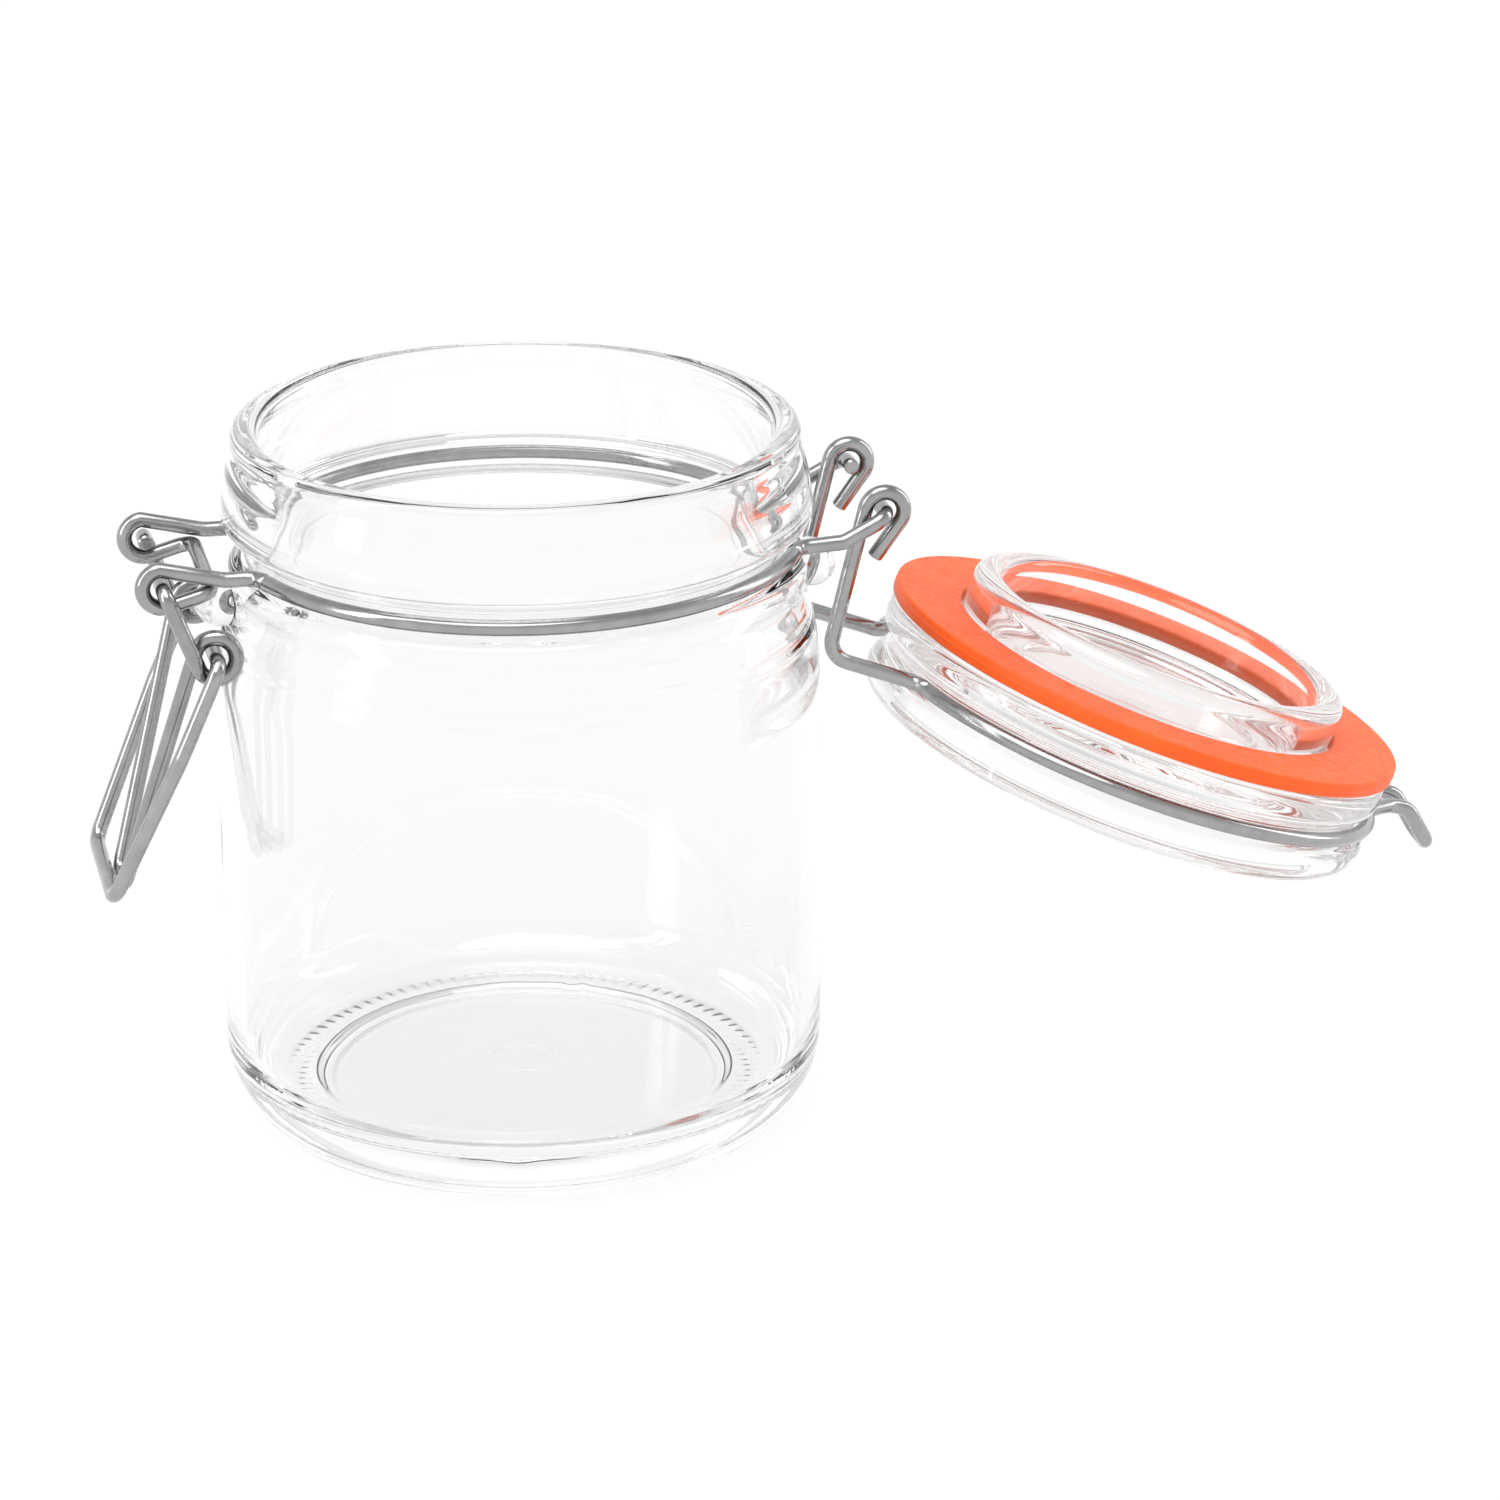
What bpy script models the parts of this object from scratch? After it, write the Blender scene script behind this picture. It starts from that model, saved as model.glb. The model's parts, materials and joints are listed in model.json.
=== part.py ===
"""Bail clamp jar: a glass jar with a hinged glass lid, rubber gasket and wire clamp.

The row frame has its origin on the standing plane, under the centre of the bounding box
with the lid open. +Z is up, +X runs from the clamp towards the open lid.
Lengths are in metres.
"""
import math

import bpy
import bmesh
from mathutils import Vector

MM = 0.001
NAME = "bail_clamp_jar"

# ---- placing ----
JAR_X = -41.0 * MM            # the jar's own axis, along the row's X
GAP = 0.3 * MM                # clearance between neighbouring pieces

# ---- jar glass ----
BODY_R = 46.5 * MM            # outer radius of the straight wall
BODY_IN_R = 43.5 * MM         # inner radius of the straight wall
RIM_Z = 110.6 * MM            # top face of the rim
RIM_R = 43.0 * MM             # outer radius just under the rim
MOUTH_R = 39.0 * MM           # inner radius of the mouth
COLLAR_R = 45.0 * MM          # widest part of the flared collar
GROOVE_R = 41.5 * MM          # floor of the groove that holds the neck wire
GROOVE_Z = 92.5 * MM          # middle of that groove
SHOULDER_Z = 73.0 * MM        # the straight wall starts below this
CORNER_H = 13.5 * MM          # height of the rounded base corner
CORNER_W = 8.0 * MM           # its width
BASE_FLAT_IN_R = 32.5 * MM    # inner edge of the flat bearing ring
PUSH_UP = 2.2 * MM            # rise of the underside at its middle
FLOOR_Z = 7.2 * MM            # inner floor next to its rounded corner
IN_CORNER_R = 7.0 * MM        # inner corner radius
LUG_X = 45.7 * MM             # centre of each anti-turn lug, from the jar's axis
LUG_Z = 85.0 * MM
LUG_SEMI = (4.0 * MM, 4.6 * MM, 3.7 * MM)
LUG_SEGMENTS = 20
LUG_RINGS = 12
JAR_STEPS = 72

# ---- lid glass, heights above the gasket's lower face ----
SEAL_Z = RIM_Z + GAP          # gasket's lower face with the lid closed
GASKET_H = 2.5 * MM
GASKET_R = 42.1 * MM
GASKET_IN_R = 31.3 * MM
GASKET_EDGE = 0.3 * MM
SEAT_H = GASKET_H + GAP
PLUG_R = 31.0 * MM
PLUG_IN_R = 26.3 * MM
PLUG_DROP = 4.2 * MM          # middle of the plug's bead, below the gasket's lower face
PLUG_BEAD_R = 2.35 * MM
LID_R = 41.7 * MM
LID_GROOVE_R = 39.6 * MM
LID_WIRE_H = 10.0 * MM
LID_STEPS = 72

# ---- wires ----
WIRE_R = 1.2 * MM
BEVEL_RES = 2
BEND_R = 3.0 * MM             # usual bend radius of a wire's centre line
EYE_R = 3.0 * MM              # centre line radius of an eye
ARC_DEG = 6.0                 # step along the long rings
BEND_DEG = 18.0               # step along bends and eyes

# neck wire
NECK_WIRE_R = 43.0 * MM       # centre line radius in the jar's groove
HINGE_X = 54.5 * MM
HINGE_Z = 96.5 * MM
HINGE_ARM_Y = 15.2 * MM       # the neck wire's hinge arms
HINGE_PIN_END_Y = 9.6 * MM
HINGE_KNEE_X = 47.6 * MM
HINGE_KNEE_RISE = 0.4 * MM
CLAMP_X = -55.6 * MM
CLAMP_Z = 91.8 * MM
CLAMP_ARM_Y = 12.2 * MM
CLAMP_LEAVE_X = -46.4 * MM
CROSSBAR_X = -48.2 * MM
CROSSBAR_Z = 90.8 * MM

# lid wire
LID_WIRE_R = 41.1 * MM        # centre line radius in the lid's groove
LID_ARM_Y = 12.4 * MM
LID_ARM_BEND_R = 3.6 * MM
TEAR_END = (-1.1 * MM, 7.4 * MM)   # free end of the teardrop eye, from the hinge axis
TONGUE_Y = 8.4 * MM           # half width where the tongue leaves the lid
TONGUE_NECK_X = -46.2 * MM
TONGUE_TIP_Y = 3.4 * MM
TONGUE_DIP_X = -49.3 * MM
TONGUE_DIP = 1.0 * MM
TONGUE_TIP_X = -55.0 * MM
TONGUE_CURL = 3.8 * MM
TONGUE_BEND_R = 2.6 * MM
OPEN_DEG = 201.0              # lid angle from closed, about +Y

# lever, in the plane of its arm, from the clamp eyes' axis
LEVER_ARM_Y = 15.0 * MM
LEVER_LEG_Y = 12.35 * MM
LEVER_HOOK_END_Y = 9.4 * MM
COIL_X = 7.5 * MM
COIL_Z = -11.0 * MM
HANDLE_DEG = 254.5            # direction of the handle from the coil, from +X towards +Z
HANDLE_LEN = 41.9 * MM
HANDLE_TIP_Y = 3.3 * MM

# closing loop, from the coils' axis
LOOP_Y = 17.8 * MM
LOOP_STRAIGHT = 15.5 * MM
LOOP_BAR_Y = 12.8 * MM
LOOP_LEN = 41.3 * MM
LOOP_DEG = 246.3
LOOP_HOOK_END_Y = 9.6 * MM
LOOP_BEND_R = 3.0 * MM


def clear_scene():
    for obj in list(bpy.data.objects):
        bpy.data.objects.remove(obj, do_unlink=True)


def make_collection(name):
    coll = bpy.data.collections.new(name)
    bpy.context.scene.collection.children.link(coll)
    return coll


def material(name, colour, roughness, metallic, transmission=0.0):
    mat = bpy.data.materials.new(name)
    mat.use_nodes = True
    shader = mat.node_tree.nodes["Principled BSDF"]
    shader.inputs["Base Color"].default_value = (*colour, 1.0)
    shader.inputs["Roughness"].default_value = roughness
    shader.inputs["Metallic"].default_value = metallic
    shader.inputs["Transmission Weight"].default_value = transmission
    mat.diffuse_color = (*colour, 1.0)
    return mat


def empty(name, coll, place):
    obj = bpy.data.objects.new(name, None)
    obj.empty_display_size = 5 * MM
    obj.location = place
    coll.objects.link(obj)
    return obj


def smooth(obj, angle=math.radians(35)):
    obj.data.shade_smooth()
    obj.data.set_sharp_from_angle(angle=angle)


def turned(name, coll, profile, steps, mat):
    """A closed profile of (radius, height) points, turned about the object's Z axis."""
    mesh = bpy.data.meshes.new(name)
    bm = bmesh.new()
    verts = [bm.verts.new((r, 0.0, z)) for r, z in profile]
    for a, b in zip(verts, verts[1:]):
        bm.edges.new((a, b))
    on_axis = profile[0][0] == 0.0 and profile[-1][0] == 0.0
    if not on_axis:
        bm.edges.new((verts[-1], verts[0]))
    bm.to_mesh(mesh)
    bm.free()
    obj = bpy.data.objects.new(name, mesh)
    coll.objects.link(obj)
    screw = obj.modifiers.new("turn", "SCREW")
    screw.axis = "Z"
    screw.steps = steps
    screw.render_steps = steps
    screw.use_merge_vertices = True
    screw.merge_threshold = 0.00001
    screw.use_normal_calculate = True
    mesh.materials.append(mat)
    return obj


def apply_modifiers(obj):
    graph = bpy.context.evaluated_depsgraph_get()
    mesh = bpy.data.meshes.new_from_object(obj.evaluated_get(graph))
    obj.modifiers.clear()
    obj.data = mesh


def arc(centre, radius, start, end, step=BEND_DEG):
    """Points from start to end, both in degrees, with both ends."""
    count = max(1, round(abs(end - start) / step))
    out = []
    for i in range(count + 1):
        a = math.radians(start + (end - start) * i / count)
        out.append((centre[0] + radius * math.cos(a), centre[1] + radius * math.sin(a)))
    return out


def rounded(points, radii):
    """A path of points whose corners with a radius above zero are replaced by arcs."""
    pts = [Vector(p) for p in points]
    out = [pts[0]]
    for before, at, after, radius in zip(pts, pts[1:], pts[2:], radii[1:]):
        into = (at - before).normalized()
        away = (after - at).normalized()
        turn = into.angle(away, 0.0)
        if radius <= 0.0 or turn < math.radians(2):
            out.append(at)
            continue
        reach = radius * math.tan(turn / 2)
        middle = at + (away - into).normalized() * radius / math.cos(turn / 2)
        first = (at - into * reach - middle).normalized()
        last = (at + away * reach - middle).normalized()
        count = max(2, round(math.degrees(turn) / BEND_DEG))
        for i in range(count + 1):
            out.append(middle + first.slerp(last, i / count) * radius)
    out.append(pts[-1])
    return out


def spaced(points, least=0.25 * MM):
    out = [points[0]]
    for p in points[1:]:
        if (Vector(p) - Vector(out[-1])).length > least:
            out.append(p)
    return out


def wire(name, coll, points, mat):
    curve = bpy.data.curves.new(name, "CURVE")
    curve.dimensions = "3D"
    curve.bevel_depth = WIRE_R
    curve.bevel_resolution = BEVEL_RES
    curve.use_fill_caps = True
    path = spaced(points)
    spline = curve.splines.new("POLY")
    spline.points.add(len(path) - 1)
    for point, p in zip(spline.points, path):
        point.co = (*p, 1.0)
    spline.use_smooth = True
    obj = bpy.data.objects.new(name, curve)
    coll.objects.link(obj)
    curve.materials.append(mat)
    return obj


def mirrored(points):
    return [(p[0], -p[1], p[2]) for p in points]


def jar_profile():
    """The jar's wall as a closed outline from the middle of the inner floor to the underside."""
    rim_in = [(MOUTH_R, RIM_Z - 1.6 * MM), (MOUTH_R + 0.35 * MM, RIM_Z - 0.55 * MM)]
    rim_in.append((MOUTH_R + 1.2 * MM, RIM_Z))
    rim_out = [(RIM_R - 1.0 * MM, RIM_Z), (RIM_R - 0.25 * MM, RIM_Z - 0.3 * MM)]
    rim_out.append((RIM_R + 0.1 * MM, RIM_Z - 1.0 * MM))
    collar = [(43.3 * MM, 107.9 * MM), (43.8 * MM, 105.4 * MM), (44.4 * MM, 102.8 * MM)]
    collar += [(44.8 * MM, 100.2 * MM), (COLLAR_R, 98.2 * MM), (44.9 * MM, 96.9 * MM)]
    collar += [(44.3 * MM, 95.9 * MM), (43.2 * MM, 95.2 * MM), (42.2 * MM, 94.7 * MM)]
    groove = [(GROOVE_R, GROOVE_Z + 1.4 * MM), (GROOVE_R, GROOVE_Z - 1.4 * MM)]
    bead = [(42.2 * MM, 90.2 * MM), (43.3 * MM, 89.7 * MM), (44.1 * MM, 88.8 * MM)]
    bead += [(44.3 * MM, 87.7 * MM), (44.1 * MM, 86.7 * MM), (44.1 * MM, 85.2 * MM)]
    shoulder = [(44.4 * MM, 83.2 * MM), (44.9 * MM, 80.8 * MM), (45.5 * MM, 78.4 * MM)]
    shoulder += [(46.1 * MM, 75.8 * MM), (BODY_R, SHOULDER_Z)]
    wall = [(BODY_R, 58.0 * MM), (BODY_R, 36.0 * MM)]
    corner = []
    for i in range(8):
        a = math.radians(90 * i / 7)
        corner.append((BODY_R - CORNER_W + CORNER_W * math.cos(a), CORNER_H - CORNER_H * math.sin(a)))
    under = [(BASE_FLAT_IN_R, 0.0), (BASE_FLAT_IN_R - 1.2 * MM, 0.9 * MM)]
    under += [(BASE_FLAT_IN_R - 3.5 * MM, 1.6 * MM), (14 * MM, PUSH_UP), (0.0, PUSH_UP)]
    outer = rim_in + rim_out + collar + groove + bead + shoulder + wall + corner + under
    inner = [(0.0, FLOOR_Z + 0.6 * MM), (16 * MM, FLOOR_Z + 0.5 * MM)]
    mid = (BODY_IN_R - IN_CORNER_R, FLOOR_Z + IN_CORNER_R)
    inner += arc(mid, IN_CORNER_R, -90, 0, 15)
    inner += [(BODY_IN_R, 36 * MM), (BODY_IN_R, 58 * MM), (BODY_IN_R, 71 * MM)]
    inner += [(43.0 * MM, 75 * MM), (42.2 * MM, 79 * MM), (41.3 * MM, 82.6 * MM)]
    inner += [(40.3 * MM, 86.2 * MM), (39.4 * MM, 89.6 * MM), (38.9 * MM, 93.4 * MM)]
    inner += [(38.9 * MM, 101.0 * MM)]
    return inner + outer


def lug(name, coll, side):
    """A rounded lug on the shoulder that keeps the neck wire from turning."""
    mesh = bpy.data.meshes.new(name)
    bm = bmesh.new()
    bmesh.ops.create_uvsphere(bm, u_segments=LUG_SEGMENTS, v_segments=LUG_RINGS, radius=1.0)
    for v in bm.verts:
        v.co = Vector((v.co.x * LUG_SEMI[0], v.co.y * LUG_SEMI[1], v.co.z * LUG_SEMI[2]))
    bm.to_mesh(mesh)
    bm.free()
    obj = bpy.data.objects.new(name, mesh)
    obj.location = (side * LUG_X, 0.0, LUG_Z)
    obj.hide_render = True
    obj.display_type = "WIRE"
    coll.objects.link(obj)
    return obj


def make_jar(coll, cutters, mat):
    jar = turned("jar_glass", coll, jar_profile(), JAR_STEPS, mat)
    jar.location = (JAR_X, 0.0, 0.0)
    apply_modifiers(jar)
    for side, label in ((-1, "clamp"), (1, "hinge")):
        tool = lug("lug_" + label, cutters, side)
        tool.location.x += JAR_X
        join = jar.modifiers.new("lug_" + label, "BOOLEAN")
        join.operation = "UNION"
        join.solver = "EXACT"
        join.object = tool
    smooth(jar)
    return jar


def lid_profile():
    """Half section of the lid, heights from the gasket's lower face, closed and plug down."""
    low = [(0.0, 3.4 * MM), (24.2 * MM, 3.4 * MM), (25.6 * MM, 2.7 * MM)]
    low.append((PLUG_IN_R - 0.1 * MM, 1.2 * MM))
    bead_mid = ((PLUG_R + PLUG_IN_R) / 2, -PLUG_DROP)
    bead = [(PLUG_IN_R, -PLUG_DROP + 1.6 * MM)]
    bead += arc(bead_mid, PLUG_BEAD_R, 180, 360, 30)
    bead += [(PLUG_R - 0.1 * MM, -PLUG_DROP + 1.8 * MM), (PLUG_R - 0.15 * MM, SEAT_H)]
    seat = [(40.2 * MM, SEAT_H), (41.2 * MM, SEAT_H + 0.5 * MM), (LID_R, SEAT_H + 2.4 * MM)]
    seat += [(41.5 * MM, 7.1 * MM), (40.6 * MM, 8.0 * MM), (LID_GROOVE_R, 8.7 * MM)]
    top = [(LID_GROOVE_R, 11.3 * MM), (40.4 * MM, 12.0 * MM), (41.4 * MM, 12.8 * MM)]
    top += [(LID_R, 14.2 * MM), (41.4 * MM, 15.9 * MM), (40.2 * MM, 17.3 * MM)]
    top += [(38.4 * MM, 18.1 * MM), (36.6 * MM, 18.1 * MM), (35.3 * MM, 17.2 * MM)]
    top += [(34.6 * MM, 15.0 * MM), (33.8 * MM, 11.0 * MM), (32.4 * MM, 8.6 * MM)]
    top += [(30.2 * MM, 7.4 * MM), (27.0 * MM, 7.1 * MM), (0.0, 7.1 * MM)]
    return low + bead + seat + top


def make_lid(coll, pivot, mat):
    lid = turned("lid_glass", coll, lid_profile(), LID_STEPS, mat)
    apply_modifiers(lid)
    lid.location = (-HINGE_X, 0.0, SEAL_Z - HINGE_Z)
    lid.parent = pivot
    smooth(lid)
    return lid


def make_gasket(coll, pivot, mat):
    e = GASKET_EDGE
    profile = [(GASKET_IN_R, e), (GASKET_IN_R + e, 0.0), (GASKET_R - e, 0.0), (GASKET_R, e)]
    profile += [(GASKET_R, GASKET_H - e), (GASKET_R - e, GASKET_H)]
    profile += [(GASKET_IN_R + e, GASKET_H), (GASKET_IN_R, GASKET_H - e)]
    gasket = turned("gasket", coll, profile, LID_STEPS, mat)
    apply_modifiers(gasket)
    gasket.location = (-HINGE_X, 0.0, SEAL_Z - HINGE_Z)
    gasket.parent = pivot
    smooth(gasket)
    return gasket


def neck_side():
    """The near half of the neck wire, from the crossbar round the groove to the hinge pin."""
    y = CLAMP_ARM_Y
    path = [(CROSSBAR_X, 0.0, CROSSBAR_Z), (CROSSBAR_X, -y, CROSSBAR_Z)]
    radii = [0.0, BEND_R * 0.85]
    ring = arc((CLAMP_X, CLAMP_Z), EYE_R, 278, 98)
    for x, z in ring:
        path.append((x, -y, z))
        radii.append(0.0)
    path.append((CLAMP_LEAVE_X, -y, GROOVE_Z))
    radii.append(BEND_R * 2)
    first = 180 + math.degrees(math.asin(y / NECK_WIRE_R))
    last = 360 - math.degrees(math.asin(HINGE_ARM_Y / NECK_WIRE_R))
    groove = arc((0.0, 0.0), NECK_WIRE_R, first, last, ARC_DEG)
    for i, (x, yy) in enumerate(groove):
        path.append((x, yy, GROOVE_Z))
        radii.append(BEND_R if i in (0, len(groove) - 1) else 0.0)
    path.append((HINGE_KNEE_X, -HINGE_ARM_Y, GROOVE_Z + HINGE_KNEE_RISE))
    radii.append(BEND_R)
    path.append((HINGE_X, -HINGE_ARM_Y, HINGE_Z))
    radii.append(BEND_R * 0.8)
    path.append((HINGE_X, -HINGE_PIN_END_Y, HINGE_Z))
    radii.append(0.0)
    return rounded(path, radii)


def make_neck_wire(coll, mat):
    side = neck_side()
    far = mirrored(side)
    obj = wire("neck_wire", coll, list(reversed(far))[:-1] + side[1:], mat)
    obj.location = (JAR_X, 0.0, 0.0)
    return obj


def lid_side():
    """The near half of the lid wire, from its hinge eye to the middle of the tongue's tip."""
    y = LID_ARM_Y
    rise = SEAL_Z + LID_WIRE_H - HINGE_Z
    path = [(TEAR_END[0], -y, TEAR_END[1])]
    radii = [0.0]
    for x, z in arc((0.0, 0.0), EYE_R, 158, 366):
        path.append((x, -y, z))
        radii.append(0.0)
    path.append((0.0, -y, rise))
    radii.append(LID_ARM_BEND_R)
    first = 360 - math.degrees(math.asin(y / LID_WIRE_R))
    last = 180 + math.degrees(math.asin(TONGUE_Y / LID_WIRE_R))
    groove = arc((0.0, 0.0), LID_WIRE_R, first, last, ARC_DEG)
    for i, (x, yy) in enumerate(groove):
        path.append((x - HINGE_X, yy, rise))
        radii.append(TONGUE_BEND_R if i in (0, len(groove) - 1) else 0.0)
    path.append((TONGUE_NECK_X - HINGE_X, -TONGUE_TIP_Y, rise - TONGUE_DIP * 0.8))
    radii.append(TONGUE_BEND_R * 2)
    path.append((TONGUE_DIP_X - HINGE_X, -TONGUE_TIP_Y, rise - TONGUE_DIP))
    radii.append(TONGUE_BEND_R)
    path.append((TONGUE_TIP_X - HINGE_X, -TONGUE_TIP_Y, rise + TONGUE_CURL))
    radii.append(TONGUE_BEND_R)
    path.append((TONGUE_TIP_X - HINGE_X, 0.0, rise + TONGUE_CURL))
    radii.append(0.0)
    return rounded(path, radii)


def make_lid_wire(coll, pivot, mat):
    side = lid_side()
    far = mirrored(side)
    obj = wire("lid_wire", coll, side[:-1] + list(reversed(far))[1:], mat)
    obj.parent = pivot
    return obj


def lever_side():
    """The near half of the lever: hook, arm, coil and handle leg."""
    reach = math.hypot(COIL_X, COIL_Z)
    toward = math.degrees(math.atan2(COIL_Z, COIL_X))
    heading = toward - math.degrees(math.asin(EYE_R / reach))
    start = heading - 90
    end = HANDLE_DEG - 90
    path = [(0.0, -LEVER_HOOK_END_Y, 0.0), (0.0, -LEVER_ARM_Y, 0.0)]
    radii = [0.0, BEND_R * 0.8]
    turn = end - start
    ring = arc((COIL_X, COIL_Z), EYE_R, start, end)
    for i, (x, z) in enumerate(ring):
        along = i / (len(ring) - 1)
        y = LEVER_ARM_Y + (LEVER_LEG_Y - LEVER_ARM_Y) * along
        path.append((x, -y, z))
        radii.append(0.0)
    a = math.radians(HANDLE_DEG)
    x = ring[-1][0] + HANDLE_LEN * math.cos(a)
    z = ring[-1][1] + HANDLE_LEN * math.sin(a)
    path.append((x, -HANDLE_TIP_Y, z))
    radii.append(BEND_R * 0.85)
    path.append((x, 0.0, z))
    radii.append(0.0)
    return rounded(path, radii)


def make_lever(coll, pivot, mat):
    side = lever_side()
    far = mirrored(side)
    obj = wire("lever_wire", coll, side[:-1] + list(reversed(far))[1:], mat)
    obj.parent = pivot
    return obj


def loop_side():
    """The near half of the closing loop: hook, leg and half of the crossbar."""
    a = math.radians(LOOP_DEG)
    dx, dz = math.cos(a), math.sin(a)
    s = LOOP_STRAIGHT
    path = [(0.0, -LOOP_HOOK_END_Y, 0.0), (0.0, -LOOP_Y, 0.0), (dx * s, -LOOP_Y, dz * s)]
    path += [(dx * LOOP_LEN, -LOOP_BAR_Y, dz * LOOP_LEN), (dx * LOOP_LEN, 0.0, dz * LOOP_LEN)]
    return rounded(path, [0.0, BEND_R * 0.8, BEND_R * 3, LOOP_BEND_R, 0.0])


def make_loop(coll, pivot, mat):
    side = loop_side()
    far = mirrored(side)
    obj = wire("closing_loop", coll, side[:-1] + list(reversed(far))[1:], mat)
    obj.parent = pivot
    return obj


def build():
    clear_scene()
    coll = make_collection(NAME)
    cutters = make_collection("cutters")
    glass = material("jar_glass", (0.90, 0.94, 0.93), 0.04, 0.0, 0.9)
    lid_glass = material("lid_glass", (0.90, 0.94, 0.93), 0.04, 0.0, 0.9)
    rubber = material("gasket_rubber", (0.95, 0.20, 0.05), 0.55, 0.0)
    neck = material("neck_wire_steel", (0.62, 0.62, 0.63), 0.22, 1.0)
    bail = material("lid_wire_steel", (0.62, 0.62, 0.63), 0.22, 1.0)
    lever = material("lever_wire_steel", (0.58, 0.58, 0.59), 0.26, 1.0)
    loop = material("closing_loop_steel", (0.66, 0.66, 0.67), 0.20, 1.0)
    lid_pivot = empty("lid_pivot", coll, (JAR_X + HINGE_X, 0.0, HINGE_Z))
    lid_pivot.rotation_euler = (0.0, math.radians(OPEN_DEG), 0.0)
    lever_pivot = empty("lever_pivot", coll, (JAR_X + CLAMP_X, 0.0, CLAMP_Z))
    loop_pivot = empty("loop_pivot", coll, (COIL_X, 0.0, COIL_Z))
    loop_pivot.parent = lever_pivot
    make_jar(coll, cutters, glass)
    make_neck_wire(coll, neck)
    make_lid(coll, lid_pivot, lid_glass)
    make_gasket(coll, lid_pivot, rubber)
    make_lid_wire(coll, lid_pivot, bail)
    make_lever(coll, lever_pivot, lever)
    make_loop(coll, loop_pivot, loop)
    bpy.context.view_layer.update()


build()
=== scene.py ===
"""Looks of the bail clamp jar: clear glass, drawn steel wire and an orange rubber gasket.

The glass, the gasket and the wires are rebuilt finely in the places of their CAD nodes.
Profiles are in millimetres about the jar's own axis. So is the neck wire's path; the lid wire's
is from the hinge, the lever's from the clamp eyes and the loop's from the coils. Meshes are in
metres.
"""
import json
import math

import bmesh
import bpy
from mathutils import Matrix, Vector


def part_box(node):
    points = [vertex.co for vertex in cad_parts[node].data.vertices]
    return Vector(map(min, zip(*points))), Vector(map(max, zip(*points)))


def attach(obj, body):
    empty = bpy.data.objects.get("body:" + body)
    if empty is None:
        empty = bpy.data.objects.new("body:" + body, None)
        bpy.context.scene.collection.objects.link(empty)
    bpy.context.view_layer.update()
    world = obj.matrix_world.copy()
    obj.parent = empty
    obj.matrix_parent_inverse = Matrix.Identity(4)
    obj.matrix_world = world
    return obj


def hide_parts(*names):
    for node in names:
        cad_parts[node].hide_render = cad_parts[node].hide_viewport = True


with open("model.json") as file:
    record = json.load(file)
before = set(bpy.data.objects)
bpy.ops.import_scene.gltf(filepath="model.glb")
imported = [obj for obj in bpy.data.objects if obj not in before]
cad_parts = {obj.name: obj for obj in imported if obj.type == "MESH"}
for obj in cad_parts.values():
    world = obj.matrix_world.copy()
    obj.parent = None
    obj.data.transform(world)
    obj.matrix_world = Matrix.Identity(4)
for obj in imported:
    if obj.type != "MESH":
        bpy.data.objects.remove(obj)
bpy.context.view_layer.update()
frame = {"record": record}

MM = 0.001
JOINTS = {j["name"]: j for j in frame["record"]["behaviour"]["joints"]}
HINGE = Vector(JOINTS["lid_hinge"]["pos_m"])
CLAMP = Vector(JOINTS["lever_pivot"]["pos_m"])
COILS = Vector(JOINTS["loop_pivot"]["pos_m"])
OPEN_ANGLE = -math.radians(JOINTS["lid_hinge"]["range_deg"][0])

JAR_LOW, JAR_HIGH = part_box("jar_glass")
JAR_AXIS = Vector(((JAR_LOW.x + JAR_HIGH.x) / 2, 0.0, 0.0))
HINGE_X = (HINGE.x - JAR_AXIS.x) / MM
HINGE_Z = HINGE.z / MM
CLAMP_X = (CLAMP.x - JAR_AXIS.x) / MM
CLAMP_Z = CLAMP.z / MM
COIL_X = (COILS.x - CLAMP.x) / MM
COIL_Z = (COILS.z - CLAMP.z) / MM
RIM_Z = JAR_HIGH.z / MM
SEAL_GAP = 0.3                # between the rim and the gasket of the closed lid
SEAL_Z = RIM_Z + SEAL_GAP

# glass: the jar's outer wall, and the marks that its mould leaves
TURN_STEPS = 288
GLASS_FINE = 3                # curve points for each point of a glass profile
BODY_R = 46.5
CORNER_R, CORNER_H = 8.0, 13.5
BEARING_IN, BEARING_OUT = 33.2, 38.2
STIPPLES = 96
STIPPLE_TOP = 1.0
STIPPLE_DEPTH = 0.24
SEAM_LOW, SEAM_HIGH = 14.0, 84.0
SEAM_HEIGHT = 0.10
SEAM_HALF_DEG = 1.3
OUTSIDE_R = 43.9              # only the outside of the wall is further out than this

# lugs under the collar
LUG_X, LUG_Z = 45.7, 85.0
LUG_SEMI = (4.0, 4.6, 3.7)
LUG_TILT = math.radians(12.9)
LUG_TILT_AXIS = (1.0, 0.7, 0.4)
WELD = 4e-6                   # metres

# gasket
GASKET_IN_R, GASKET_R, GASKET_H = 31.3, 42.1, 2.5
GASKET_EDGE_R = 0.45
GASKET_FLAT = (34.0, 38.0)
PARTING_LINE = 0.06           # how far the parting line stands out
PARTING_HALF = 0.13           # half its width

# all wires
WIRE_R = 1.2
WIRE_SIDES = 6
LEAST_STEP = 0.1              # points of a wire's path closer than this are left out
CUT_CHAMFER = 0.25
CUT_END = 0.75                # share of the radius left at a cut end
EYE_R = 3.0
BEND_R = 3.0
ARC_DEG = 2.0
BEND_DEG = 6.0

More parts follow.
